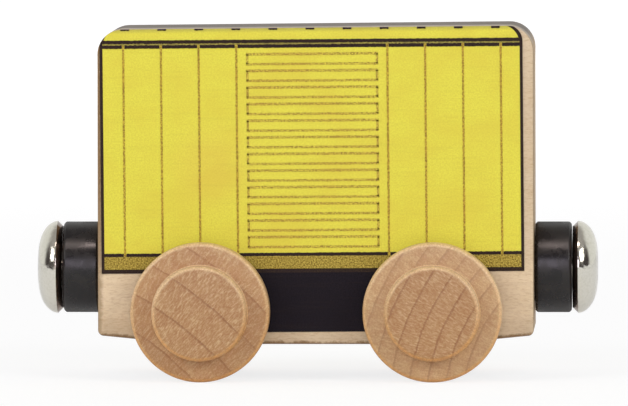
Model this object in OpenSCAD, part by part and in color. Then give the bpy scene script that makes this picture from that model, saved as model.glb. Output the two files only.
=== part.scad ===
// Wooden toy box car: a printed hardwood block on two wooden wheelsets, with a
// ring magnet held by a domed nail at each end. All sizes are in millimetres.
// Origin: on the rail plane, under the middle of the car. +X is the front end,
// -Y is the right-hand side, +Z is up.

/* [Body block] */
// Length of the block, end to end
block_length = 59.7; // [58.6:0.1:66]
// Thickness of the block, side to side
block_thickness = 19.05; // [18.6:0.05:19.4]
// Height of the block at mid length
block_height = 43.4; // [38:0.1:50]
// Height of the block's underside above the rails
block_clearance = 4.95; // [3.5:0.05:5.6]
// How much taller the block is at the front end than at the rear end
roof_rise = 0.54; // [0:0.02:1]
// Radius of the two roof corners
roof_corner_r = 3.5; // [1:0.1:6]
// Half length of the level middle of the underside
underside_half = 17.6; // [10:0.1:24]
// Height that the underside gains from its level middle to each end
underside_rise = 1.2; // [0.2:0.05:2]
// Radius of the two lower corners
lower_corner_r = 0.8; // [0.2:0.1:2]

/* [Wheels] */
// Distance between the two axles
wheelbase = 31.75; // [28:0.05:34]
// Distance of the axle pair ahead of the middle of the block
axle_offset = 0.2; // [-0.5:0.05:0.5]
// Diameter of the running disc
wheel_d = 19.05; // [18:0.05:20.5]
// Thickness of the running disc
wheel_thickness = 4; // [3:0.1:5]
// Distance between the middles of the two discs on one axle
track_gauge = 26; // [25.6:0.1:28]
// Diameter of the raised outer hub
hub_d = 13; // [9:0.1:15]
// Height of the outer hub above the disc
hub_height = 2.8; // [2.2:0.1:4]
// Diameter of the inner boss, next to the block
boss_d = 8; // [6:0.1:12]
// Gap between the inner boss and the printed side
boss_gap = 0.25; // [0.15:0.05:0.35]
// Rounding of the disc and hub edges
wheel_edge_r = 0.7; // [0.3:0.05:0.9]

/* [Axles] */
// Diameter of the steel axle
axle_d = 3.175; // [2.8:0.005:3.5]
// Gap all round between the axle and its hole in the block
axle_clearance = 0.06; // [0.02:0.01:0.1]
// How far the axle overlaps the wheel's bore in the press fit
press = 0.02; // [0.01:0.01:0.04]
// Depth of solid wood left between the bore and the outer face of the hub
hub_cover = 2; // [1.4:0.1:2.2]

/* [Couplers] */
// Height of the coupler's axis above the rails
coupler_height = 15.05; // [14.6:0.05:17]
// Outer diameter of the ring magnet
magnet_d = 12.5; // [11:0.1:13]
// Length of the ring magnet
magnet_length = 5; // [4:0.1:6]
// Gap all round between the ring magnet and the nail
magnet_clearance = 0.09; // [0.03:0.01:0.1]
// End play of the ring magnet between the block and the nail's head
magnet_end_play = 0.24; // [0.1:0.02:0.5]
// Bevel on the ring magnet's four edges
magnet_bevel = 0.45; // [0.2:0.05:0.6]
// Widest diameter of the nail's domed head
dome_d = 12.7; // [11:0.1:13]
// Height of the dome from its widest part to its tip
dome_height = 2.75; // [2:0.05:3.5]
// Length of the bevelled back of the head
dome_back = 0.75; // [0.3:0.05:1.2]
// Diameter of the nail's shank
shank_d = 3; // [2.6:0.05:3.2]
// Depth of the shank in the block
shank_depth = 12; // [8:0.5:14]

/* [Side prints] */
// Thickness of the printed film
film = 0.1; // [0.05:0.01:0.1]
// Width of the printed side
print_width = 58; // [40:0.1:58]
// Height of the printed side's bottom edge above the block's underside
print_bottom = 9.9; // [8.6:0.1:12]
// Corner radius of the printed side
print_corner_r = 2.3; // [1:0.1:4]
// How far the print's own outline would run past the roof before the block cuts it
print_bleed = 0.2; // [0:0.05:0.6]
// Bare wood left between the film and the block's own edges
print_margin = 0.25; // [0.1:0.05:0.5]
// Half width of the dark underframe, hidden behind the wheels at its ends
underframe_half = 15.5; // [12:0.1:17]
// Height of the underframe's bottom edge above the block's underside
underframe_bottom = 1.6; // [1:0.1:4]
// Tilt of the right-hand print, in degrees, raising its front end
right_print_tilt = 0.4; // [0:0.05:0.6]
// Shift of the right-hand print towards the rear
right_print_shift = 0.54; // [0:0.02:0.6]

/* [Hidden] */
$fn = 96;

front = 1;
rear = -1;
right = 1;
left = -1;

// Sums of the driving sizes
block_top = block_clearance + block_height;
block_end = block_length / 2;
block_face = block_thickness / 2;
wheel_r = wheel_d / 2;
hub_face = track_gauge / 2 + wheel_thickness / 2 + hub_height;
disc_inner = track_gauge / 2 - wheel_thickness / 2;
disc_outer = track_gauge / 2 + wheel_thickness / 2;
boss_face = block_face + film + boss_gap;
bore_end = hub_face - hub_cover;
bore_slack = 0.2;
axle_half = bore_end - bore_slack;
axle_chamfer = 0.3;
dome_rear = block_end + magnet_length + magnet_end_play;
magnet_rear = block_end + magnet_end_play / 2;
shank_point = 3;
nail_hole_depth = shank_depth + 0.5;
arc_steps = 16;
wheel_wood = "burlywood";
steel = "silver";

// Shape of the dome: depth below the tip follows 1 - (1 - r^flatness)^(1/fullness)
dome_flatness = 3.2;
dome_fullness = 1.8;
dome_steps = 24;

function unit(v) = v / norm(v);
function along(from, to, distance) = from + unit(to - from) * distance;
function turned(v, angle) =
    [v.x * cos(angle) - v.y * sin(angle), v.x * sin(angle) + v.y * cos(angle)];

// Points of the arc of radius r that rounds the vertex b of the corner a-b-c
function corner_arc(a, b, c, r) =
    let (
        half = acos(unit(a - b) * unit(c - b)) / 2,
        centre = along(b, b + unit(a - b) + unit(c - b), r / sin(half)),
        start = along(b, a, r / tan(half)) - centre
    )
    [for (i = [0 : arc_steps]) centre + turned(start, (180 - 2 * half) * i / arc_steps)];

// Convex outline, listed anticlockwise, with a rounding radius at each vertex
module rounded_outline(points, radii) {
    n = len(points);
    polygon([
        for (i = [0 : n - 1])
            each (
                radii[i] == 0
                    ? [points[i]]
                    : corner_arc(points[(i + n - 1) % n], points[i], points[(i + 1) % n], radii[i])
            )
    ]);
}

// Side view of the block, drawn in by inset on every edge
module block_outline(inset = 0) {
    x = block_end - inset;
    low = block_clearance + inset;
    high = block_top - inset;
    slope = roof_rise / block_length;
    rounded_outline(
        [
            [-underside_half, low],
            [underside_half, low],
            [x, low + underside_rise],
            [x, high + slope * x],
            [-x, high - slope * x],
            [-x, low + underside_rise],
        ],
        [0, 0, lower_corner_r, roof_corner_r - inset, roof_corner_r - inset, lower_corner_r]
    );
}

// Upright slab with a side-view outline, from y = low to y = high
module upright(low, high) {
    translate([0, high, 0])
        rotate([90, 0, 0])
            linear_extrude(high - low)
                children();
}

// Cylinder along Y, from y = low to y = high
module rod_y(r, low, high) {
    translate([0, high, 0])
        rotate([90, 0, 0])
            cylinder(r = r, h = high - low);
}

// Turned shape about the X axis: children are drawn as [radius, distance out]
module turned_x(end) {
    translate([0, 0, coupler_height])
        rotate([0, 90 * end, 0])
            rotate_extrude()
                children();
}

// X of one axle
function axle_x(end) = axle_offset + end * wheelbase / 2;

module body_block() {
    color("wheat")
        difference() {
            upright(-block_face, block_face) block_outline();
            for (end = [front, rear]) {
                translate([axle_x(end), 0, wheel_r])
                    rod_y(axle_d / 2 + axle_clearance, -block_face - 1, block_face + 1);
                translate([end * (block_end - nail_hole_depth), 0, coupler_height])
                    rotate([0, 90 * end, 0])
                        cylinder(r = shank_d / 2 - press, h = nail_hole_depth + 1);
            }
        }
}

// Outline of one side's print: rounded panel with the dark underframe below it
module print_outline(shift, tilt) {
    bottom = block_clearance + print_bottom;
    top = block_top + print_bleed;
    middle = (bottom + top) / 2;
    intersection() {
        block_outline(print_margin);
        translate([-shift, middle])
            rotate(tilt)
                translate([0, -middle]) {
                    rounded_outline(
                        [
                            [-print_width / 2, bottom],
                            [print_width / 2, bottom],
                            [print_width / 2, top],
                            [-print_width / 2, top],
                        ],
                        [0, 0, print_corner_r, print_corner_r]
                    );
                    translate([-underframe_half, block_clearance + underframe_bottom])
                        square([2 * underframe_half, print_bottom - underframe_bottom + 1]);
                }
    }
}

module side_print(side, shift, tilt) {
    color("khaki")
        difference() {
            if (side == right)
                upright(-block_face - film, -block_face) print_outline(shift, tilt);
            else
                upright(block_face, block_face + film) print_outline(shift, tilt);
            // The axle passes through the film as it does through the block
            for (end = [front, rear])
                translate([axle_x(end), 0, wheel_r])
                    rod_y(axle_d / 2 + axle_clearance, -block_face - 1, block_face + 1);
        }
}

module axle(end) {
    color(steel)
        translate([axle_x(end), 0, wheel_r])
            rotate([90, 0, 0])
                rotate_extrude()
                    polygon([
                        [0, -axle_half],
                        [axle_d / 2 - axle_chamfer, -axle_half],
                        [axle_d / 2, -axle_half + axle_chamfer],
                        [axle_d / 2, axle_half - axle_chamfer],
                        [axle_d / 2 - axle_chamfer, axle_half],
                        [0, axle_half],
                    ]);
}

// Half section of a disc whose outer corners are rounded; top and bottom name
// which of its two corners are
module disc_section(r, low, high, round_low, round_high) {
    e = wheel_edge_r;
    translate([0, low + (round_low ? e : 0)])
        square([r, high - low - (round_low ? e : 0) - (round_high ? e : 0)]);
    translate([0, low])
        square([r - e, high - low]);
    if (round_low)
        translate([r - e, low + e]) circle(r = e);
    if (round_high)
        translate([r - e, high - e]) circle(r = e);
}

module wheel(end, side) {
    color(wheel_wood)
        translate([axle_x(end), 0, wheel_r])
            rotate([90 * side, 0, 0])
                rotate_extrude()
                    difference() {
                        union() {
                            disc_section(wheel_r, disc_inner, disc_outer, true, true);
                            disc_section(hub_d / 2, disc_outer - 1, hub_face, false, true);
                            translate([0, boss_face])
                                square([boss_d / 2, disc_inner - boss_face + 1]);
                        }
                        translate([-1, boss_face - 1])
                            square([1 + axle_d / 2 - press, bore_end - boss_face + 1]);
                        translate([-wheel_r, boss_face - 1])
                            square([wheel_r, hub_face]);
                    }
}

module coupler_magnet(end) {
    inner = shank_d / 2 + magnet_clearance;
    outer = magnet_d / 2;
    b = magnet_bevel;
    color("dimgray")
        turned_x(end)
            translate([0, magnet_rear])
                polygon([
                    [inner + b, 0],
                    [outer - b, 0],
                    [outer, b],
                    [outer, magnet_length - b],
                    [outer - b, magnet_length],
                    [inner + b, magnet_length],
                    [inner, magnet_length - b],
                    [inner, b],
                ]);
}

// Height of the dome above its widest part, at a share of its radius
function dome_at(share) =
    dome_height * pow(1 - pow(share, dome_flatness), 1 / dome_fullness);

module coupler_nail(end) {
    r = shank_d / 2;
    back_r = dome_d / 2 - dome_back;
    tip = block_end - shank_depth;
    color(steel)
        turned_x(end)
            polygon(concat(
                [
                    [0, tip],
                    [r * 0.3, tip],
                    [r, tip + shank_point],
                    [r, dome_rear],
                    [back_r, dome_rear],
                ],
                [
                    for (i = [0 : dome_steps - 1])
                        let (share = cos(90 * i / dome_steps))
                        [share * dome_d / 2, dome_rear + dome_back + dome_at(share)]
                ],
                [[0, dome_rear + dome_back + dome_height]]
            ));
}

body_block();
side_print(right, right_print_shift, right_print_tilt);  // side_print_right
side_print(left, 0, 0);  // side_print_left
axle(front);  // axle_front
axle(rear);  // axle_rear
wheel(front, right);  // wheel_front_right
wheel(front, left);  // wheel_front_left
wheel(rear, right);  // wheel_rear_right
wheel(rear, left);  // wheel_rear_left
coupler_magnet(front);  // coupler_magnet_front
coupler_magnet(rear);  // coupler_magnet_rear
coupler_nail(front);  // coupler_nail_front
coupler_nail(rear);  // coupler_nail_rear
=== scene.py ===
import math
import random
from types import SimpleNamespace

import bmesh
import bpy
from mathutils import Matrix, Quaternion, Vector


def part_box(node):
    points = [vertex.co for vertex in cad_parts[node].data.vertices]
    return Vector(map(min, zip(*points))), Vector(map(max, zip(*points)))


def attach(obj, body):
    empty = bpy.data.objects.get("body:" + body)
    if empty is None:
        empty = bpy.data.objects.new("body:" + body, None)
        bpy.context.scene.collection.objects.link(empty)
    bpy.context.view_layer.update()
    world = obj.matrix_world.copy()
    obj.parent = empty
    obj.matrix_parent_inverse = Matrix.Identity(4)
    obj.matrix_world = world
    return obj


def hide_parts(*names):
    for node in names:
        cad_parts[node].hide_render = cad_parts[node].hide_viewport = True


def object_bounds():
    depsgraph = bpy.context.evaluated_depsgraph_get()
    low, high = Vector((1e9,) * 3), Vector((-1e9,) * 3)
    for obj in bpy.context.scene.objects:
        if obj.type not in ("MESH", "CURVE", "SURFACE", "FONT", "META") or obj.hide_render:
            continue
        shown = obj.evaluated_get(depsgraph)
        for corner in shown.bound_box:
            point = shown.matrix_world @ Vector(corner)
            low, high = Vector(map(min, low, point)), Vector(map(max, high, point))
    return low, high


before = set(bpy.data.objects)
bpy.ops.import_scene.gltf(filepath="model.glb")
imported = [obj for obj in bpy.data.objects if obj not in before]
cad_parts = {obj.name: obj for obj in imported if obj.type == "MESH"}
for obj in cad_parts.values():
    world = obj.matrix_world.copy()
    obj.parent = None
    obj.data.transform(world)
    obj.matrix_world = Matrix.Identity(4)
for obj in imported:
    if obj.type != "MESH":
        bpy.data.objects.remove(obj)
cad_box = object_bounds()

MM = 0.001
FRONT, REAR = 1, -1  # the sign of X at each end of the car
RIGHT, LEFT = -1, 1  # the sign of Y on each side of it
wander = random.Random(5)


# --- Meshes -------------------------------------------------------------------------------

def box_mm(node):
    """The low and high corner of a CAD node's box, in millimetres."""
    return [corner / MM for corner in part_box(node)]


def middle_of(node):
    """The middle of a CAD node's box, in millimetres."""
    low, high = box_mm(node)
    return (low + high) / 2


def mesh_from(bm, name):
    """A mesh in metres from a bmesh drawn in millimetres, which is freed."""
    bmesh.ops.recalc_face_normals(bm, faces=bm.faces)
    mesh = bpy.data.meshes.new(name)
    bm.to_mesh(mesh)
    bm.free()
    mesh.transform(Matrix.Scale(MM, 4))
    return mesh


def finish_mesh(name, bm, material, body, node, sharp_deg=32):
    """Makes a piece of a bmesh drawn in millimetres. It stands for a CAD node, if one is given."""
    bmesh.ops.remove_doubles(bm, verts=bm.verts, dist=1e-5)
    mesh = mesh_from(bm, name)
    mesh.polygons.foreach_set("use_smooth", [True] * len(mesh.polygons))
    mesh.set_sharp_from_angle(angle=math.radians(sharp_deg))
    mesh.materials.append(material)
    piece = bpy.data.objects.new(name, mesh)
    bpy.context.scene.collection.objects.link(piece)
    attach(piece, body)
    if node:
        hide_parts(node)
    return piece


def filleted(corners, steps=8):
    """A 2D outline from (x, y, radius) corners, each rounded by its own radius."""
    points = [Vector((x, y)) for x, y, _ in corners]
    out = []
    for i, here in enumerate(points):
        radius = corners[i][2]
        if radius == 0:
            out.append(here)
            continue
        before = (points[i - 1] - here).normalized()
        after = (points[(i + 1) % len(points)] - here).normalized()
        half = before.angle(after) / 2
        middle = here + (before + after).normalized() * radius / math.sin(half)
        start = here + before * radius / math.tan(half) - middle
        end = here + after * radius / math.tan(half) - middle
        sweep = start.angle(end)
        for k in range(steps + 1):
            share = k / steps
            a = math.sin((1 - share) * sweep) / math.sin(sweep)
            b = math.sin(share * sweep) / math.sin(sweep)
            out.append(middle + start * a + end * b)
    return out


def lathe(profile, axis, sign, centre, segments=192, closed=False):
    """Turns (radius, distance) points about an axis through centre, in millimetres."""
    bm = bmesh.new()
    rings = []
    for radius, distance in profile:
        count = segments if radius > 0 else 1
        angles = [2 * math.pi * k / segments for k in range(count)]
        rings.append([
            bm.verts.new(turned_point(radius, distance, angle, axis, sign, centre)) for angle in angles
        ])
    pairs = list(zip(rings, rings[1:]))
    if closed:
        pairs.append((rings[-1], rings[0]))
    for a, b in pairs:
        for k in range(segments):
            n = (k + 1) % segments
            corners = [a[k % len(a)], a[n % len(a)], b[n % len(b)], b[k % len(b)]]
            unique = list(dict.fromkeys(corners))
            if len(unique) > 2:
                bm.faces.new(unique)
    return bm


def turned_point(radius, distance, angle, axis, sign, centre):
    """A point at an angle round the axis. The distance runs along it, towards sign."""
    u, v = radius * math.cos(angle), radius * math.sin(angle)
    if axis == "X":
        return centre + Vector((sign * distance, u, v))
    return centre + Vector((u, sign * distance, v))


# --- Material graphs ----------------------------------------------------------------------

class Graph:
    """Short calls for the nodes of one material or world. A value is a number, a colour or a socket."""

    def __init__(self, owner):
        owner.use_nodes = True
        self.owner = owner
        self.tree = owner.node_tree
        self.tree.nodes.clear()

    def node(self, kind, **settings):
        made = self.tree.nodes.new("ShaderNode" + kind)
        for key, value in settings.items():
            setattr(made, key, value)
        return made

    def plug(self, socket, value):
        if isinstance(value, bpy.types.NodeSocket):
            self.tree.links.new(value, socket)
        elif isinstance(value, tuple) and len(value) == 3 and len(socket.default_value) == 4:
            socket.default_value = (*value, 1.0)
        else:
            socket.default_value = value

    def math(self, operation, a, b=0.0, c=0.0):
        made = self.node("Math", operation=operation)
        for socket, value in zip(made.inputs, (a, b, c)):
            self.plug(socket, value)
        return made.outputs[0]

    def join(self, x, y, z):
        made = self.node("CombineXYZ")
        for socket, value in zip(made.inputs, (x, y, z)):
            self.plug(socket, value)
        return made.outputs[0]

    def split(self, vector):
        made = self.node("SeparateXYZ")
        self.plug(made.inputs[0], vector)
        return tuple(made.outputs)

    def length(self, a, b):
        """The length of a flat vector from its two parts."""
        return self.math("SQRT", self.math("ADD", self.math("MULTIPLY", a, a), self.math("MULTIPLY", b, b)))

    def position(self):
        """The point's place at rest, in millimetres, as three sockets."""
        scaled = self.node("VectorMath", operation="SCALE")
        self.plug(scaled.inputs[0], self.node("TexCoord").outputs["Object"])
        scaled.inputs["Scale"].default_value = 1 / MM
        return self.split(scaled.outputs[0])

    def normal(self):
        """The surface's outward direction, as three sockets."""
        return self.split(self.node("NewGeometry").outputs["Normal"])

    def facing(self, axis):
        """How squarely the surface faces along a row axis, 0 to 1."""
        return self.math("ABSOLUTE", self.normal()["XYZ".index(axis)])

    def noise(self, vector, detail=2.0, rough=0.5):
        made = self.node("TexNoise")
        self.plug(made.inputs["Vector"], vector)
        made.inputs["Scale"].default_value = 1.0
        made.inputs["Detail"].default_value = detail
        made.inputs["Roughness"].default_value = rough
        return made.outputs[0]

    def speckle(self, scales, detail=2.0, rough=0.5, shift=(0.0, 0.0, 0.0)):
        """Noise over the point's place at rest, with its own scale per millimetre on each axis."""
        places = [
            self.math("MULTIPLY_ADD", at, scale, move)
            for at, scale, move in zip(self.position(), scales, shift)
        ]
        return self.noise(self.join(*places), detail, rough)

    def step(self, value, low, high, to_low=0.0, to_high=1.0):
        """A smooth step from to_low at low to to_high at high."""
        made = self.node("MapRange", interpolation_type="SMOOTHSTEP")
        for socket, v in zip(made.inputs, (value, low, high, to_low, to_high)):
            self.plug(socket, v)
        return made.outputs[0]

    def mix(self, share, a, b):
        made = self.node("Mix", data_type="RGBA", clamp_factor=True)
        self.plug(made.inputs[0], share)
        self.plug(made.inputs[6], a)
        self.plug(made.inputs[7], b)
        return made.outputs[2]

    def tint(self, colour, share, strength, other):
        """The colour with another laid over it, by the product of share and strength."""
        return self.mix(self.math("MULTIPLY", share, strength), colour, other)

    def bump(self, height, strength, distance_mm):
        made = self.node("Bump")
        made.inputs["Strength"].default_value = strength
        made.inputs["Distance"].default_value = distance_mm * MM
        self.plug(made.inputs["Height"], height)
        return made.outputs[0]

    def surface(self, **values):
        """Ends the graph with a Principled surface and returns the material."""
        shader = self.node("BsdfPrincipled")
        for key, value in values.items():
            self.plug(shader.inputs[key.replace("_", " ")], value)
        out = self.node("OutputMaterial")
        self.tree.links.new(shader.outputs[0], out.inputs["Surface"])
        return self.owner


def new_graph(name):
    return Graph(bpy.data.materials.new(name))


def srgb(red, green, blue):
    """A colour given as 0 to 255 screen values."""
    return tuple(
        c / 12.92 if c <= 0.04045 else ((c + 0.055) / 1.055) ** 2.4
        for c in (red / 255, green / 255, blue / 255)
    )


# --- Wood ---------------------------------------------------------------------------------

RAYS_ROUND = 4.2     # how finely rays lie round a ring, per millimetre
RAYS_ALONG = 0.5     # and along the grain


def growth(g, grain, centre, pith, look):
    """Shares of each mark in the wood. Rings lie round a pith line that runs with the grain."""
    x, y, z = g.position()
    along, across = (x, y) if grain == "X" else (y, x)
    across = g.math("SUBTRACT", across, centre[1 if grain == "X" else 0] + pith[0])
    up = g.math("SUBTRACT", z, centre[2] + pith[1])
    reach = math.hypot(*pith)

    def field(a_scale, c_scale, detail=2.0, rough=0.5):
        """Noise with one scale along the grain and another across it."""
        scaled = g.join(g.math("MULTIPLY", along, a_scale), g.math("MULTIPLY", across, c_scale),
                        g.math("MULTIPLY", up, c_scale))
        return g.noise(scaled, detail, rough)

    radius = g.length(across, up)
    sway = g.math("MULTIPLY", g.math("SUBTRACT", field(0.03, 0.10), 0.5), look.sway)
    ragged = g.math("MULTIPLY", g.math("SUBTRACT", field(0.3, 2.2), 0.5), look.ragged)
    warped = g.math("ADD", radius, g.math("ADD", sway, ragged))
    turn = g.math("MULTIPLY", g.math("ARCTAN2", across, up), reach)
    rays = g.join(g.math("MULTIPLY", turn, RAYS_ROUND), g.math("MULTIPLY", radius, look.ray),
                  g.math("MULTIPLY", along, RAYS_ALONG))

    from_first = g.math("SUBTRACT", warped, reach + look.first_ring)
    ring = g.math("FRACT", g.math("DIVIDE", from_first, look.spacing))
    line = look.line / look.spacing
    edge = g.math("MULTIPLY", g.step(ring, 1 - line, 1 - line * 0.5), g.step(ring, 1.0, 1 - line * 0.15))
    patchy = field(0.05, 0.45, 3.0, 0.6)
    return SimpleNamespace(
        patchy=g.step(patchy, 0.32, 0.68),
        late=g.step(ring, 0.4, 1.0),
        edge=g.math("MULTIPLY", edge, g.step(patchy, 0.35, 0.6, 0.5, 1.0)),
        fibre=field(look.fibre_along, look.fibre_across, 3.0, 0.65),
        fleck=g.noise(rays, 3.0, 0.7),
        fine=field(look.fine_along, look.fine_across, 2.0, 0.7),
        blotch=g.step(field(0.10, 0.9, 3.0, 0.65), 0.42, 0.66),
        pore=g.step(field(0.4, 2.6, 1.0), 0.735, 0.79),
    )


def wood_colour(g, marks, look):
    colour = g.mix(marks.patchy, look.dark, look.light)
    colour = g.tint(colour, marks.blotch, look.blotch, look.blotch_colour)
    colour = g.tint(colour, g.step(marks.fibre, 0.45, 0.75), look.fibre, look.line_colour)
    colour = g.tint(colour, g.step(marks.fleck, 0.42, 0.74), look.fleck, look.fleck_colour)
    colour = g.tint(colour, g.step(marks.fine, 0.50, 0.70), look.fine, look.line_colour)
    colour = g.tint(colour, g.step(marks.fine, 0.50, 0.30), look.fine, look.fleck_colour)
    colour = g.tint(colour, marks.late, look.late, look.line_colour)
    colour = g.tint(colour, marks.edge, look.ring, look.line_colour)
    return g.tint(colour, marks.pore, look.pore, look.pore_colour)


def wood_surface(g, marks, colour, look, shine):
    height = g.math("ADD", g.math("MULTIPLY", marks.fibre, 0.6), g.math("MULTIPLY", marks.fleck, 0.4))
    height = g.math("SUBTRACT", height, g.math("MULTIPLY", marks.edge, 0.3))
    return g.surface(
        Base_Color=colour,
        Roughness=g.step(marks.fibre, 0.3, 0.7, look.gloss - 0.06, look.gloss + 0.08),
        Specular_IOR_Level=shine,
        Coat_Weight=look.coat,
        Coat_Roughness=0.20,
        Normal=g.bump(height, 0.35, 0.035),
    )


def wheel_wood(node, centre, wood):
    """End-grain faces, with amber side grain on the rims, lightened towards cream as a painted highlight,
    most on their upper side.
    """
    look = SimpleNamespace(
        first_ring=wood.first_ring, spacing=wood.spacing, line=0.36, sway=0.9, ragged=0.30,
        light=srgb(201, 158, 111), dark=srgb(187, 138, 92), fibre=0.12, late=0.14, ring=0.48,
        line_colour=srgb(148, 92, 58), fleck=wood.rays, fleck_colour=srgb(242, 218, 172),
        fine=0.24, pore=0.55, pore_colour=srgb(136, 80, 50), gloss=0.42, coat=0.30,
        fibre_along=0.22, fibre_across=3.0, fine_along=2.0, fine_across=4.2, ray=1.1,
        blotch=0.45, blotch_colour=srgb(184, 128, 90),
    )
    g = new_graph("maple_" + node)
    marks = growth(g, "Y", centre, wood.pith, look)
    colour = wood_colour(g, marks, look)

    hub = g.step(g.math("ABSOLUTE", g.position()[1]), HUB_FOOT_Y + 0.6, HUB_FOOT_Y + 1.6)
    colour = g.mix(g.step(hub, 0.0, 1.0, wood.tone_share, 0.0), colour, srgb(*wood.tone))
    colour = g.tint(colour, hub, 0.46, srgb(150, 104, 54))
    bright = g.math("MULTIPLY", hub, g.step(marks.fleck, 0.40, 0.78, 0.0, 0.30))
    colour = g.tint(colour, bright, g.step(marks.patchy, 0.0, 1.0, 0.7, 1.2), srgb(236, 206, 158))
    colour = g.tint(colour, g.math("MULTIPLY", hub, marks.edge), 0.40, srgb(134, 84, 50))

    # Painted highlight: the rounded rims are lightened to cream, more on their upper side; the amber is the
    # side grain's own colour.
    rim_grain_and_highlight = g.mix(g.step(g.normal()[2], -0.5, 0.4), srgb(232, 172, 98), srgb(255, 222, 174))
    rim = g.step(g.facing("Y"), 0.995, 0.78)
    colour = g.tint(colour, rim, g.step(marks.fine, 0.3, 0.6, 0.78, 0.42), rim_grain_and_highlight)
    return wood_surface(g, marks, colour, look, 0.3)


def burn_and_upper_shade(g, centre, half_length, sawn):
    """How brown the saw left each place: the foot, the rear end's edges and the sawn ends; with painted
    shade higher up the sides.
    """
    x, _, z = g.position()
    past_level = g.math("MAXIMUM", g.math("SUBTRACT", g.math("ABSOLUTE", x), RAMP_START), 0.0)
    ramp = g.math("MULTIPLY", past_level, RAMP_RISE / (half_length - RAMP_START))
    height = g.math("SUBTRACT", z, g.math("ADD", ramp, centre[2] - FOOT_DEPTH))
    uneven = g.math("SUBTRACT", g.speckle((0.8, 1.0, 0.8), 3.0, 0.7), 0.5)
    uneven = g.math("MULTIPLY", uneven, 1.1)
    foot = g.math("ADD", height, uneven)
    near_foot = g.math("ADD", g.step(foot, 0.45, 0.0, 0.0, 0.80), g.step(foot, 3.0, 0.6, 0.0, 0.20))
    rear = g.math("ADD", g.math("ADD", x, half_length), uneven)
    near_rear = g.math("MULTIPLY", g.step(rear, 0.9, 0.2),
                       g.step(z, centre[2] - 12, centre[2] + 6, 0.6, 0.9))
    marked = g.math("MULTIPLY", g.math("MAXIMUM", near_rear, near_foot), g.math("SUBTRACT", 1.0, sawn))
    burnt = g.math("ADD", marked, g.math("MULTIPLY", sawn, 0.42))
    # Painted shade: the sides are darkened higher up, away from the light the floor throws back.
    painted_upper_shade = g.step(height, 7.0, 12.0, 0.0, 0.17)
    return g.math("ADD", burnt, painted_upper_shade)


def roof_sheen_and_streaks(g, colour, roof):
    """Paints grey reflection and shade into the roof's colour, paler along its right-hand edge as a painted
    highlight, and streaks it along the grain.
    """
    inboard = g.step(g.position()[1], ROOF_PALE_Y, ROOF_GREY_Y)
    # Painted reflection and shade: the roof's grey stands for the backdrop seen at a grazing angle and the
    # little light that falls on top.
    grey = g.mix(inboard, srgb(231, 231, 231), srgb(135, 139, 144))
    colour = g.tint(colour, roof, g.step(inboard, 0.0, 1.0, 0.36, 0.73), grey)
    streak = g.step(g.speckle((0.12, 1.6, 0.0), 4.0, 0.7), 0.46, 0.66, 0.0, 0.42)
    return g.tint(colour, roof, streak, srgb(112, 98, 84))


def block_wood(centre, half_length):
    """Flat-sawn maple along the car, brown from the saw at its edges, ends and underside, with painted
    shade high on its sides and a painted grey reflection and shade on its roof.
    """
    look = SimpleNamespace(
        first_ring=0.6, spacing=3.4, line=0.5, sway=2.2, ragged=0.15,
        light=srgb(236, 216, 183), dark=srgb(229, 206, 170), fibre=0.36, late=0.05, ring=0.10,
        line_colour=srgb(182, 144, 102), fleck=0.12, fleck_colour=srgb(240, 224, 198),
        fine=0.20, pore=0.25, pore_colour=srgb(160, 118, 84), gloss=0.55, coat=0.0,
        fibre_along=1.5, fibre_across=5.0, fine_along=1.6, fine_across=5.5, ray=0.4,
        blotch=0.12, blotch_colour=srgb(204, 172, 134),
    )
    g = new_graph("block_maple")
    marks = growth(g, "X", centre, BLOCK_PITH, look)
    colour = wood_colour(g, marks, look)
    sawn = g.step(g.facing("X"), 0.3, 0.9)
    # The burnt brown also serves as painted shade high on the sides.
    colour = g.mix(burn_and_upper_shade(g, centre, half_length, sawn), colour, srgb(142, 114, 80))
    rounded = g.math("MULTIPLY", g.step(g.facing("Y"), 0.98, 0.80), g.step(g.facing("Y"), 0.02, 0.30))
    colour = g.tint(colour, rounded, 0.5, srgb(122, 96, 66))
    rings = g.math("ADD", g.math("MULTIPLY", marks.edge, 0.24), g.math("MULTIPLY", marks.late, 0.12))
    colour = g.tint(colour, rings, sawn, srgb(142, 106, 70))
    roof = g.step(g.facing("Z"), 0.1, 0.8)
    colour = roof_sheen_and_streaks(g, colour, roof)
    return wood_surface(g, marks, colour, look, g.step(roof, 0.0, 1.0, 0.15, 0.0))


# --- Ink and metal ------------------------------------------------------------------------

# Each ink: the material's name, the two colours of its dither, how strong the dither is and
# its dots per millimetre, and the colour and share of its broad patches.
INKS = {
    "underframe": ("ink_black", (24, 19, 25), (40, 35, 44), 0.6, 5.0, (28, 23, 28), 0.4),
    "dark": ("ink_line", (40, 28, 28), (72, 58, 42), 0.6, 5.0, (46, 34, 40), 0.4),
    "field": ("ink_yellow", (236, 228, 82), (212, 196, 66), 0.50, 4.6, (223, 203, 72), 0.45),
    "wall": ("ink_ochre", (142, 114, 42), (220, 194, 70), 0.9, 3.6, (192, 144, 58), 0.35),
    "door": ("ink_slat", (148, 120, 50), (230, 212, 80), 1.0, 4.6, (192, 150, 64), 0.35),
    "gap": ("ink_gap", (190, 178, 80), (104, 92, 50), 0.85, 3.6, (150, 136, 62), 0.4),
    "sill": ("ink_olive", (108, 88, 22), (206, 182, 82), 1.0, 4.8, (156, 130, 54), 0.25),
}
DULL_INKS = ("underframe", "dark")


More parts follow.
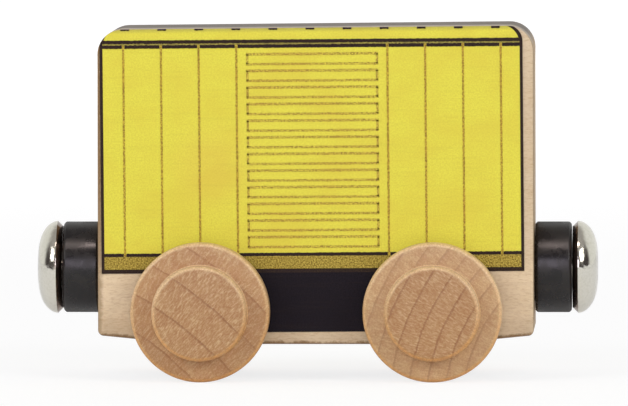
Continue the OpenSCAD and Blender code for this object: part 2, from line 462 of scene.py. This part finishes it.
def ink(part):
    """Printed ink: a fine dither of two colours, broad patches, and the wood's grain below."""
    name, base, other, dither, dots_per_mm, patch, patch_share = INKS[part]
    g = new_graph(name)
    dots = g.speckle((dots_per_mm, 0.0, dots_per_mm), 2.0, 0.8)
    cloud = g.speckle((0.10, 0.0, 0.14), 3.0, 0.6, shift=(0.0, 3.0, 0.0))
    grain = g.speckle((0.15, 1.0, 3.0), 2.0, 0.6)
    colour = g.tint(srgb(*base), g.step(dots, 0.36, 0.64), dither, srgb(*other))
    colour = g.tint(colour, g.step(cloud, 0.40, 0.66), patch_share, srgb(*patch))
    colour = g.tint(colour, g.step(grain, 0.5, 0.75), 0.04, (0.10, 0.06, 0.02))
    if part == "field":
        colour = top_shade_and_stain(g, colour)
    relief = g.math("ADD", g.math("MULTIPLY", grain, 0.7), g.math("MULTIPLY", dots, 0.3))
    return g.surface(
        Base_Color=colour,
        Roughness=g.step(dots, 0.3, 0.7, 0.45, 0.58),
        Specular_IOR_Level=0.08 if part in DULL_INKS else 0.15,
        Normal=g.bump(relief, 0.25, 0.03),
    )


def top_shade_and_stain(g, colour):
    """Paints shade into the ink just under the sloping roof, where the edge rounds over away from the
    light, and leaves a faint orange stain on the field.
    """
    low, high = box_mm("body_block")
    middle_roof = high.z - ROOF_RISE / 2
    x, _, z = g.position()
    roof = g.math("MULTIPLY_ADD", x, ROOF_RISE / (high.x - low.x), middle_roof)
    below_roof = g.math("SUBTRACT", roof, z)
    # Painted shade along the top of the print, under the roof's rounded edge.
    colour = g.mix(g.step(below_roof, 0.7, 0.0, 0.0, 0.42), colour, srgb(128, 122, 86))
    gap = g.length(g.math("SUBTRACT", x, STAIN_X), g.math("SUBTRACT", z, middle_roof - STAIN_DEPTH))
    return g.mix(g.step(gap, STAIN_R, 1.0, 0.0, 0.22), colour, srgb(226, 176, 84))


def ferrite():
    """Polished black ferrite, with faint clouds and pale specks."""
    g = new_graph("ferrite")
    cloud = g.speckle((0.35, 0.35, 0.35), 4.0, 0.6)
    fine = g.speckle((5.0, 5.0, 5.0), 3.0, 0.7)
    colour = g.mix(g.step(cloud, 0.40, 0.60), (0.005, 0.0035, 0.004), (0.013, 0.011, 0.010))
    colour = g.mix(g.step(fine, 0.66, 0.80), colour, (0.09, 0.08, 0.08))
    grazing = g.node("LayerWeight")
    grazing.inputs["Blend"].default_value = 0.5
    return g.surface(
        Base_Color=colour,
        Roughness=g.step(cloud, 0.38, 0.62, 0.22, 0.36),
        IOR=1.47,
        Specular_IOR_Level=g.step(grazing.outputs["Facing"], 0.45, 0.85, 0.5, 0.03),
        Normal=g.bump(g.math("ADD", g.math("MULTIPLY", fine, 0.5), cloud), 0.3, 0.05),
    )


def nickel():
    """Bright plating with shallow dents. The back of the head, in the gap by the magnet, is brown: partly
    rust, partly painted shade and a painted reflection of the wood.
    """
    g = new_graph("nickel_plate")
    dents = g.speckle((0.55, 0.55, 0.55), 2.0, 0.5)
    fine = g.speckle((3.0, 3.0, 3.0), 3.0, 0.6)
    colour = g.mix(g.step(fine, 0.35, 0.75), (0.74, 0.72, 0.64), (0.68, 0.66, 0.57))
    outward = g.math("MULTIPLY", g.normal()[0], g.math("SIGN", g.position()[0]))
    # Painted shade and reflection, with some rust, on the back of the head facing the magnet.
    colour = g.mix(g.step(outward, -0.1, -0.5, 0.0, 0.85), colour, srgb(86, 52, 34))
    return g.surface(
        Base_Color=colour,
        Metallic=1.0,
        Roughness=g.step(fine, 0.3, 0.75, 0.12, 0.20),
        Normal=g.bump(g.math("ADD", dents, g.math("MULTIPLY", fine, 0.05)), 0.45, 0.22),
    )


def steel():
    """Drawn steel, with marks round the axle."""
    g = new_graph("axle_steel")
    marks = g.speckle((0.6, 9.0, 0.6), 2.0, 0.6)
    return g.surface(
        Base_Color=g.mix(marks, (0.42, 0.42, 0.43), (0.58, 0.58, 0.59)),
        Metallic=1.0,
        Roughness=g.step(marks, 0.3, 0.7, 0.24, 0.40),
        Normal=g.bump(marks, 0.2, 0.02),
    )


# --- Block --------------------------------------------------------------------------------

EDGE = 0.15          # radius of the eased edges round both faces
EDGE_STEPS = 4
BLOCK_SHARP_DEG = 20
AXLE_HOLE_R = 3.295 / 2  # the axle turns in it
NAIL_HOLE_R = 2.96 / 2   # a press fit on the nail's shank
NAIL_HOLE_DEPTH = 12.5
DRILL_START = 1.0    # how far outside the wood each hole's tool begins
FOOT_DEPTH = 21.7    # from the block's middle down to where its foot counts as burnt
ROOF_RISE = 0.54     # from the rear end to the front end
ROOF_PALE_Y = -9.5   # the roof is palest at its right-hand edge
ROOF_GREY_Y = -2.5   # and fully grey from here on
RAMP_START = 17.6    # where the underside starts to rise towards each end
RAMP_RISE = 1.2
BLOCK_PITH = (26.0, -55.0)  # where the tree's pith lay from the block's middle, in y and z
STAIN_X = -14.0      # middle of the faint orange stain on the printed field
STAIN_DEPTH = 19.0   # below the roof
STAIN_R = 8.0


def hull(points):
    """Convex hull of 2D points, anticlockwise."""
    points = sorted(set(points))
    out = []
    for run in (points, points[::-1]):
        part = []
        for p in run:
            while len(part) > 1 and cross(part[-2], part[-1], p) <= 1e-9:
                part.pop()
            part.append(p)
        out += part[:-1]
    return out


def cross(a, b, c):
    return (b[0] - a[0]) * (c[1] - a[1]) - (b[1] - a[1]) * (c[0] - a[0])


def block_outline():
    """Side view of the CAD block in millimetres, anticlockwise as seen from -Y."""
    co = [v.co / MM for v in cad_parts["body_block"].data.vertices]
    return hull([(round(p.x, 4), round(p.z, 4)) for p in co])


def inset(outline, distance):
    """Moves every edge of a convex outline inwards."""
    out = []
    count = len(outline)
    for i in range(count):
        a, b, c = (Vector(outline[(i + k) % count]) for k in (-1, 0, 1))
        n1 = Vector((a.y - b.y, b.x - a.x)).normalized()
        n2 = Vector((b.y - c.y, c.x - b.x)).normalized()
        n = (n1 + n2).normalized()
        out.append(tuple(b + n * distance / n.dot(n1)))
    return out


def rod(axis, sign, centre, radius, low, high):
    """A plain cylinder that cuts a hole."""
    profile = [(0, low), (radius, low), (radius, high), (0, high)]
    return lathe(profile, axis, sign, centre, 64)


def cut(piece, tools):
    """Subtracts bmesh tools from a piece's mesh."""
    for bm in tools:
        tool = bpy.data.objects.new("tool", mesh_from(bm, "tool"))
        bpy.context.scene.collection.objects.link(tool)
        change = piece.modifiers.new("hole", "BOOLEAN")
        change.operation = "DIFFERENCE"
        change.solver = "EXACT"
        change.object = tool
        bpy.context.view_layer.update()
        shape = piece.evaluated_get(bpy.context.evaluated_depsgraph_get())
        result = bpy.data.meshes.new_from_object(shape)
        piece.modifiers.clear()
        piece.data = result
        bpy.data.objects.remove(tool)


def make_block():
    low, high = box_mm("body_block")
    outline = block_outline()
    bm = bmesh.new()
    rings = []
    for side in (RIGHT, LEFT):
        face = high.y if side == LEFT else low.y
        turns = [k * math.pi / 2 / EDGE_STEPS for k in range(EDGE_STEPS + 1)]
        for angle in turns if side == RIGHT else turns[::-1]:
            y = face - side * EDGE * (1 - math.cos(angle))
            shape = inset(outline, EDGE * (1 - math.sin(angle)))
            rings.append([bm.verts.new((x, y, z)) for x, z in shape])
    for a, b in zip(rings, rings[1:]):
        for i in range(len(outline)):
            n = (i + 1) % len(outline)
            bm.faces.new((a[i], a[n], b[n], b[i]))
    bm.faces.new(rings[0])
    bm.faces.new(rings[-1])
    material = block_wood((low + high) / 2, (high.x - low.x) / 2)
    piece = finish_mesh("body_block_shaped", bm, material, "body", "body_block", BLOCK_SHARP_DEG)

    holes = []
    for node in ("axle_front", "axle_rear"):
        holes.append(rod("Y", 1, middle_of(node), AXLE_HOLE_R, low.y - DRILL_START, high.y + DRILL_START))
    for node, end in (("coupler_magnet_front", FRONT), ("coupler_magnet_rear", REAR)):
        ring = middle_of(node)
        mouth = Vector((high.x if end == FRONT else low.x, ring.y, ring.z))
        holes.append(rod("X", end, mouth, NAIL_HOLE_R, -NAIL_HOLE_DEPTH, DRILL_START))
    cut(piece, holes)
    piece.data.set_sharp_from_angle(angle=math.radians(BLOCK_SHARP_DEG))
    smooth = piece.modifiers.new("flat_faces", "WEIGHTED_NORMAL")
    smooth.keep_sharp = True


# --- Wheels and axles ---------------------------------------------------------------------

HUB_R = 6.5
HUB_HEIGHT = 2.8
HUB_FOOT_Y = 15.0    # the outer face of the discs
DISC_THICKNESS = 4.0
BOSS_R = 4.0
BORE_R = 3.135 / 2   # a press fit on the axle
HUB_COVER = 2.0      # wood left between the bore's end and the hub's face
HUB_EDGE_R = 0.8
HUB_FOOT_R = 0.18
RIM_OUTER_R = 0.75
RIM_INNER_R = 0.6
BOSS_FOOT_R = 0.2
BOSS_EDGE_R = 0.25
BORE_EDGE_R = 0.1


def maple(pith, first_ring, spacing, rays, tone, tone_share):
    """A wheel's wood: where its pith lay from the wheel's middle, its first ring line and its
    ring spacing, in millimetres, how strongly its rays show, and its disc's tone and share."""
    return SimpleNamespace(
        pith=pith, first_ring=first_ring, spacing=spacing, rays=rays, tone=tone, tone_share=tone_share,
    )


TAN = (147, 105, 45)
PALE = (200, 190, 140)
WHEELS = {
    "wheel_rear_right": maple((-31.0, -39.0), 1.8, 4.5, 0.55, TAN, 0.25),
    "wheel_front_right": maple((28.8, -14.0), 0.36, 2.45, 0.35, PALE, 0.15),
    "wheel_rear_left": maple((24.0, 30.0), 0.9, 3.1, 0.50, TAN, 0.10),
    "wheel_front_left": maple((-40.0, 12.0), 1.4, 2.8, 0.40, PALE, 0.05),
}


def wheel_profile(radius, inner, outer):
    """Half section of the wheel from the middle of its outer face to the end of its bore."""
    disc_outer = outer - HUB_HEIGHT
    disc_inner = disc_outer - DISC_THICKNESS
    bore_end = outer - HUB_COVER
    return filleted([
        (0, outer, 0),
        (HUB_R, outer, HUB_EDGE_R),
        (HUB_R, disc_outer, HUB_FOOT_R),
        (radius, disc_outer, RIM_OUTER_R),
        (radius, disc_inner, RIM_INNER_R),
        (BOSS_R, disc_inner, BOSS_FOOT_R),
        (BOSS_R, inner, BOSS_EDGE_R),
        (BORE_R, inner, BORE_EDGE_R),
        (BORE_R, bore_end, 0),
        (0, bore_end, 0),
    ], steps=10)


def make_wheel(node):
    low, high = box_mm(node)
    middle = (low + high) / 2
    side = LEFT if middle.y > 0 else RIGHT
    inner, outer = sorted((abs(low.y), abs(high.y)))
    profile = wheel_profile((high.x - low.x) / 2, inner, outer)
    bm = lathe(profile, "Y", side, Vector((middle.x, 0, middle.z)))
    material = wheel_wood(node, middle, WHEELS[node])
    body = "wheelset_front" if "front" in node else "wheelset_rear"
    piece = finish_mesh(node + "_turned", bm, material, body, node)


# --- Couplers -----------------------------------------------------------------------------

MAGNET_BORE_R = 1.59
MAGNET_BEVEL = 0.3
BORE_FILLET = 0.1    # softens the bevel's edges in the bore
OUTER_FILLET = 0.3   # and on the outside
SHANK_R = 1.5
POINT_LENGTH = 3.0
POINT_R = 0.45
DOME_HEIGHT = 2.75
DOME_BACK = 0.75     # thickness of the head behind the dome's rim
DOME_EDGE_IN = 0.12  # the rounded back edge of the rim
DOME_EDGE_BACK = 0.10
DOME_FLATNESS = 3.2
DOME_FULLNESS = 1.8
DOME_STEPS = 40


def make_magnet(end, material):
    node = "coupler_magnet_" + end
    low, high = box_mm(node)
    half = (high.x - low.x) / 2
    outer = (high.z - low.z) / 2
    bore = MAGNET_BORE_R
    bevel = MAGNET_BEVEL
    profile = filleted([
        (bore + bevel, -half, BORE_FILLET),
        (outer - bevel, -half, OUTER_FILLET),
        (outer, -half + bevel, OUTER_FILLET),
        (outer, half - bevel, OUTER_FILLET),
        (outer - bevel, half, OUTER_FILLET),
        (bore + bevel, half, BORE_FILLET),
        (bore, half - bevel, BORE_FILLET),
        (bore, -half + bevel, BORE_FILLET),
    ], steps=5)
    sign = FRONT if end == "front" else REAR
    bm = lathe(profile, "X", sign, (low + high) / 2, 160, closed=True)
    piece = finish_mesh(node + "_ring", bm, material, "magnet_" + end, node)


def make_nail(end, material):
    node = "coupler_nail_" + end
    low, high = box_mm(node)
    middle = (low + high) / 2
    sign = FRONT if end == "front" else REAR
    tip = high.x if sign == FRONT else -low.x
    radius = (high.z - low.z) / 2
    rim = tip - DOME_HEIGHT
    back = rim - DOME_BACK
    point = tip - (high.x - low.x)
    dome = []
    for i in range(DOME_STEPS + 1):
        share = math.cos(math.pi / 2 * i / DOME_STEPS) if i < DOME_STEPS else 0.0
        rise = (1 - share ** DOME_FLATNESS) ** (1 / DOME_FULLNESS)
        dome.append((share * radius, rim + DOME_HEIGHT * rise))
    shank = [
        (0, point), (POINT_R, point), (SHANK_R, point + POINT_LENGTH), (SHANK_R, back),
        (radius - DOME_BACK, back), (radius - DOME_EDGE_IN, rim - DOME_EDGE_BACK),
    ]
    bm = lathe(shank + dome, "X", sign, Vector((0, middle.y, middle.z)), 160)
    piece = finish_mesh(node + "_domed", bm, material, "body", node)


# --- Printed sides ------------------------------------------------------------------------
# Every layer is a thin solid of ink. Sizes are in millimetres, u along the car from the
# middle of the print and v up from the block's underside.

PRINT_W = 57.9
PRINT_BOTTOM = 9.85
PRINT_BLEED = 0.2    # how far the artwork runs on past the roof's edge, which trims it
PRINT_TOP = 43.4 + PRINT_BLEED
PRINT_CORNER_R = 2.3
FIELD_CORNER_R = 2.65
PRINT_SHIFT = 0.49   # the right side's print lies this far to the rear
PRINT_TILT = 0.4     # and turned by this many degrees
MARGIN = 0.03        # bare wood left at the block's edge
BORDER = 0.41
BORDER_BOTTOM = 0.55
SILL_LINE = 12.36
SILL_LINE_W = 0.44
UPPER_LINE = 41.56
UPPER_LINE_W = 0.47
UPPER_LINE_PITCH = 0.66
SEAM_SHIFT = 0.12
SEAM_FIRST = 10.34
SEAM_PITCH = 5.166
SEAM_COUNT = 4
SEAM_W = 0.30
SEAM_GAP = 0.36
DOOR_SHIFT = 0.15
RIB_HALF = 8.88
RIB_TOP = 39.80
RIB_PITCH = 2.278
RIB_HEIGHT = 1.365
RIB_COUNT = 12
RIB_LINE = 0.32
RIB_HEAD_LINE = 0.37
RIB_SILL_LINE = 0.34
DASH_SHIFT = -0.10
DASH_PITCH = 5.073
DASH_COUNT = 11
DASH_W = 1.20
DASH_H = 0.28
UNDERFRAME_HALF = 15.5
UNDERFRAME_BOTTOM = 1.7
LAYER = 0.02         # how much each layer stands out past the one below
RAGGED_STEP = 0.14   # how often a printed line's edge wanders, and how far
RAGGED_DEPTH = 0.03


def clip(shape, fence):
    """The part of a convex outline inside another; both anticlockwise."""
    for i in range(len(fence)):
        a, b = fence[i - 1], fence[i]
        kept = []
        for j in range(len(shape)):
            p, q = shape[j - 1], shape[j]
            dp, dq = cross(a, b, p), cross(a, b, q)
            if (dp >= 0) != (dq >= 0):
                t = dp / (dp - dq)
                kept.append((p[0] + (q[0] - p[0]) * t, p[1] + (q[1] - p[1]) * t))
            if dq >= 0:
                kept.append(q)
        shape = kept
        if not shape:
            return []
    return shape


def bar(u0, v0, u1, v1):
    return [(u0, v0), (u1, v0), (u1, v1), (u0, v1)]


def ragged_bar(u0, v0, u1, v1):
    """A bar whose long edges wander a little, as printed lines do."""
    upright = v1 - v0 > u1 - u0
    low, high = (v0, v1) if upright else (u0, u1)
    steps = max(2, round((high - low) / RAGGED_STEP))
    places = [low + (high - low) * k / steps for k in range(steps + 1)]
    near = [(u0 if upright else v0) + wander.uniform(-1, 1) * RAGGED_DEPTH for _ in places]
    far = [(u1 if upright else v1) + wander.uniform(-1, 1) * RAGGED_DEPTH for _ in places]
    if upright:
        return list(zip(far, places)) + list(zip(near, places))[::-1]
    return list(zip(places, near)) + list(zip(places, far))[::-1]


def rounded_top(half, bottom, top, radius):
    corners = [(-half, bottom, 0), (half, bottom, 0), (half, top, radius), (-half, top, radius)]
    return [tuple(point) for point in filleted(corners, steps=10)]


def add_prism(bm, side, shape, low, high):
    """A thin solid on one side of the car, from low to high out from the middle plane."""
    rings = [[bm.verts.new((x, side * y, z)) for x, z in shape] for y in (low, high)]
    count = len(shape)
    for i in range(count):
        n = (i + 1) % count
        bm.faces.new((rings[0][i], rings[0][n], rings[1][n], rings[1][i]))
    bm.faces.new(rings[0])
    bm.faces.new(rings[1])


def print_layers():
    """Name, layer number and outlines of each layer above the dark base, in print coordinates."""
    inner = PRINT_W / 2 - BORDER
    field_bottom = PRINT_BOTTOM + BORDER_BOTTOM
    sill_low, sill_high = SILL_LINE - SILL_LINE_W / 2, SILL_LINE + SILL_LINE_W / 2
    upper_low, upper_high = UPPER_LINE - UPPER_LINE_W / 2, UPPER_LINE + UPPER_LINE_W / 2
    second_low, second_high = upper_low - UPPER_LINE_PITCH, upper_high - UPPER_LINE_PITCH
    seams = sorted(
        SEAM_SHIFT + s * (SEAM_FIRST + SEAM_PITCH * k) for k in range(SEAM_COUNT) for s in (-1, 1)
    )

    def broken(v0, v1):
        """A dark line with a gap at each seam."""
        ends = [-inner] + [u + s * SEAM_GAP / 2 for u in seams for s in (-1, 1)] + [inner]
        return [ragged_bar(ends[k], v0, ends[k + 1], v1) for k in range(0, len(ends), 2)]

    dark = [ragged_bar(-inner, upper_low, inner, upper_high)]
    dark += broken(second_low, second_high)
    dark += broken(sill_low, sill_high)
    dash_bottom = PRINT_TOP - PRINT_BLEED - DASH_H
    for k in range(DASH_COUNT):
        u = DASH_SHIFT + DASH_PITCH * (k - (DASH_COUNT - 1) / 2)
        dark.append(ragged_bar(u - DASH_W / 2, dash_bottom, u + DASH_W / 2, PRINT_TOP))

    wall = [ragged_bar(u - SEAM_W / 2, sill_low, u + SEAM_W / 2, second_high) for u in seams]

    left, right = DOOR_SHIFT - RIB_HALF, DOOR_SHIFT + RIB_HALF
    half = RIB_LINE / 2
    door = []
    for k in range(RIB_COUNT):
        head = RIB_TOP - RIB_PITCH * k
        foot = head - RIB_HEIGHT
        for v, width in ((head, RIB_HEAD_LINE), (foot, RIB_SILL_LINE)):
            door.append(ragged_bar(left - half, v - width / 2, right + half, v + width / 2))
        for u in (left, right):
            door.append(bar(u - half, foot, u + half, head))
    return [
        ("field", 1, [rounded_top(inner, field_bottom, PRINT_TOP, FIELD_CORNER_R)]),
        ("sill", 2, [bar(-inner, field_bottom, inner, SILL_LINE)]),
        ("gap", 2, [bar(-inner, second_high, inner, upper_low)]),
        ("wall", 3, wall),
        ("door", 3, door),
        ("dark", 4, dark),
    ]


def make_print(side, inks):
    name = "right" if side == RIGHT else "left"
    node = "side_print_" + name
    block_low, block_high = box_mm("body_block")
    wood_face = block_high.y
    film_face = max(abs(corner.y) for corner in box_mm(node))
    fence = inset(block_outline(), MARGIN)
    shift, tilt = (PRINT_SHIFT, PRINT_TILT) if side == RIGHT else (0.0, 0.0)
    middle = (PRINT_BOTTOM + PRINT_TOP) / 2
    c, s = math.cos(math.radians(tilt)), math.sin(math.radians(tilt))

    def placed(shape):
        """The outline in the car's own x and z, trimmed by the block's edge."""
        out = []
        for u, v in shape:
            w = v - middle
            out.append((-shift + u * c - w * s, block_low.z + middle + u * s + w * c))
        return clip(out, fence)

    def layer(part, material, shapes, low, high, replaced=None):
        bm = bmesh.new()
        for shape in shapes:
            add_prism(bm, side, placed(shape), low, high)
        piece = finish_mesh("print_" + part + "_" + name, bm, material, "body", replaced)

    border = rounded_top(PRINT_W / 2, PRINT_BOTTOM, PRINT_TOP, PRINT_CORNER_R)
    underframe = bar(-UNDERFRAME_HALF, UNDERFRAME_BOTTOM, UNDERFRAME_HALF, PRINT_BOTTOM)
    layer("border", inks["dark"], [border], wood_face, film_face, node)
    layer("underframe", inks["underframe"], [underframe], wood_face, film_face)
    for part, number, shapes in print_layers():
        layer(part, inks[part], shapes, film_face - 0.5 * LAYER, film_face + number * LAYER)


# --- Build the car ------------------------------------------------------------------------

make_block()
for wheel_node in WHEELS:
    make_wheel(wheel_node)
magnet_material = ferrite()
nail_material = nickel()
for end_name in ("front", "rear"):
    make_magnet(end_name, magnet_material)
    make_nail(end_name, nail_material)
axle_material = steel()
for axle_node in ("axle_front", "axle_rear"):
    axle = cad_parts[axle_node]
    axle.data.materials.clear()
    axle.data.materials.append(axle_material)

print_inks = {part: ink(part) for part in INKS}
for print_side in (RIGHT, LEFT):
    make_print(print_side, print_inks)


# --- Stage --------------------------------------------------------------------------------

FLOOR_ALBEDO = 0.90  # what the car sees of the floor
FLOOR_MIRROR = 0.18  # its glow as shiny parts see it
FLOOR_SHADE = 0.25   # how strongly the car's shadow shows to the camera
FLOOR_GLOW = 0.80    # its brightness to the camera near the car
FLOOR_FAR_GLOW = 0.97
FLOOR_NEAR = 0.1     # metres from the car's middle to where the brightness starts to rise
FLOOR_FAR = 1.5      # and to where it stops
FLOOR_HALF = 12.0    # metres


def make_floor():
    """A pale floor. It looks evenly white to the camera, apart from the shadow round the car."""
    g = new_graph("floor_pale")
    place = g.split(g.node("TexCoord").outputs["Object"])
    path = g.node("LightPath")
    camera = path.outputs["Is Camera Ray"]
    away = g.length(place[0], place[1])
    glow = g.step(away, FLOOR_NEAR, FLOOR_FAR, FLOOR_GLOW, FLOOR_FAR_GLOW)
    mirror = g.math("MULTIPLY", path.outputs["Is Glossy Ray"], FLOOR_MIRROR)
    g.surface(
        Base_Color=g.mix(camera, (FLOOR_ALBEDO,) * 3, (FLOOR_SHADE,) * 3),
        Roughness=0.9,
        Specular_IOR_Level=0.0,
        Emission_Color=(1.0, 1.0, 1.0),
        Emission_Strength=g.math("ADD", g.math("MULTIPLY", camera, glow), mirror),
    )
    bm = bmesh.new()
    corners = bar(-FLOOR_HALF, -FLOOR_HALF, FLOOR_HALF, FLOOR_HALF)
    bm.faces.new([bm.verts.new((x, y, 0)) for x, y in corners])
    mesh = bpy.data.meshes.new("floor")
    bm.to_mesh(mesh)
    bm.free()
    mesh.materials.append(g.owner)
    floor = bpy.data.objects.new("floor", mesh)
    bpy.context.scene.collection.objects.link(floor)


def direction_to(azimuth, elevation):
    """Unit vector from the car. Azimuth 0 is on the camera's side, 90 is off the front end."""
    a, e = math.radians(azimuth), math.radians(elevation)
    return Vector((math.sin(a) * math.cos(e), -math.cos(a) * math.cos(e), math.sin(e)))


def make_lamp(name, azimuth, elevation, distance, width, height, power, colour, only=None):
    """A soft box aimed at the car.

    With only, it shows in reflections ("glossy") or lights matt surfaces ("diffuse")."""
    data = bpy.data.lights.new(name, "AREA")
    data.shape = "RECTANGLE"
    data.size, data.size_y = width, height
    data.energy = power
    data.color = colour
    lamp = bpy.data.objects.new(name, data)
    direction = direction_to(azimuth, elevation)
    lamp.location = (cad_box[0] + cad_box[1]) / 2 + direction * distance
    lamp.rotation_euler = (-direction).to_track_quat("-Z", "Y").to_euler()
    lamp.visible_camera = False
    lamp.visible_diffuse = only != "glossy"
    lamp.visible_glossy = only != "diffuse"
    bpy.context.scene.collection.objects.link(lamp)


def make_world():
    """White for the camera, an even fill for diffuse light, and a studio for reflections."""
    world = bpy.data.worlds.new("studio")
    bpy.context.scene.world = world
    g = Graph(world)
    _, y, z = g.split(g.node("TexCoord").outputs["Generated"])
    ceiling = (0.40, 0.38, 0.37)
    room = g.mix(g.step(z, 0.3, 0.85), (0.06, 0.05, 0.05), ceiling)
    ahead = g.mix(g.step(z, 0.3, 0.75), (0.62, 0.50, 0.48), ceiling)
    room = g.mix(g.step(y, -0.90, -0.97), room, ahead)
    backdrop = g.mix(g.step(z, 0.6, 0.95), (0.86, 0.86, 0.84), ceiling)
    studio = g.mix(g.step(y, -0.1, 0.35), room, backdrop)
    path = g.node("LightPath")
    fill = g.mix(path.outputs["Is Diffuse Ray"], studio, (0.35, 0.35, 0.36))
    colour = g.mix(path.outputs["Is Camera Ray"], fill, (1.0, 1.0, 1.0))
    back = g.node("Background")
    g.plug(back.inputs["Color"], colour)
    out = g.node("OutputWorld")
    g.tree.links.new(back.outputs[0], out.inputs["Surface"])


CAMERA_DISTANCE = 1.5    # metres
CAMERA_AZIMUTH = 2.03    # degrees, as are the next two
CAMERA_ELEVATION = 2.77
CAMERA_ROLL = 0.111
CAMERA_LENS = 624.2      # millimetres, as is the sensor
SENSOR_WIDTH = 36
AIM_OFFSET = Vector((-0.54, 0, -0.45)) * MM  # from the middle of the car


def make_camera():
    data = bpy.data.cameras.new("camera")
    data.sensor_width = SENSOR_WIDTH
    data.lens = CAMERA_LENS
    data.clip_start = 0.05
    data.clip_end = 60
    camera = bpy.data.objects.new("camera", data)
    back = direction_to(CAMERA_AZIMUTH, CAMERA_ELEVATION)
    camera.location = (cad_box[0] + cad_box[1]) / 2 + AIM_OFFSET + back * CAMERA_DISTANCE
    camera.rotation_mode = "QUATERNION"
    roll = Quaternion((0, 0, 1), -math.radians(CAMERA_ROLL))
    camera.rotation_quaternion = (-back).to_track_quat("-Z", "Y") @ roll
    bpy.context.scene.collection.objects.link(camera)
    bpy.context.scene.camera = camera


WHITE = (1.0, 1.0, 1.0)
WARM = (1.0, 0.99, 0.97)
LILAC = (0.92, 0.86, 1.0)
ROSE = (1.0, 0.82, 0.76)

make_floor()
make_world()
make_lamp("key_left", -45, 28, 1.1, 0.45, 0.45, 3.25, WARM)
make_lamp("key_right", 45, 28, 1.1, 0.45, 0.45, 3.25, WARM)
make_lamp("camera_soft", 0, 12, 1.1, 0.5, 0.40, 1.9, LILAC)
make_lamp("top_strip", 0, 60, 1.1, 0.5, 0.12, 3.0, ROSE, only="glossy")
make_lamp("end_left", -100, 12, 1.2, 0.5, 0.5, 1.6, WHITE, only="diffuse")
make_lamp("end_right", 100, 12, 1.2, 0.5, 0.5, 1.6, WHITE, only="diffuse")
make_lamp("back_fill", 180, 12, 1.3, 0.6, 0.4, 3.5, WHITE, only="diffuse")
make_camera()
bpy.context.scene.view_settings.view_transform = "Standard"
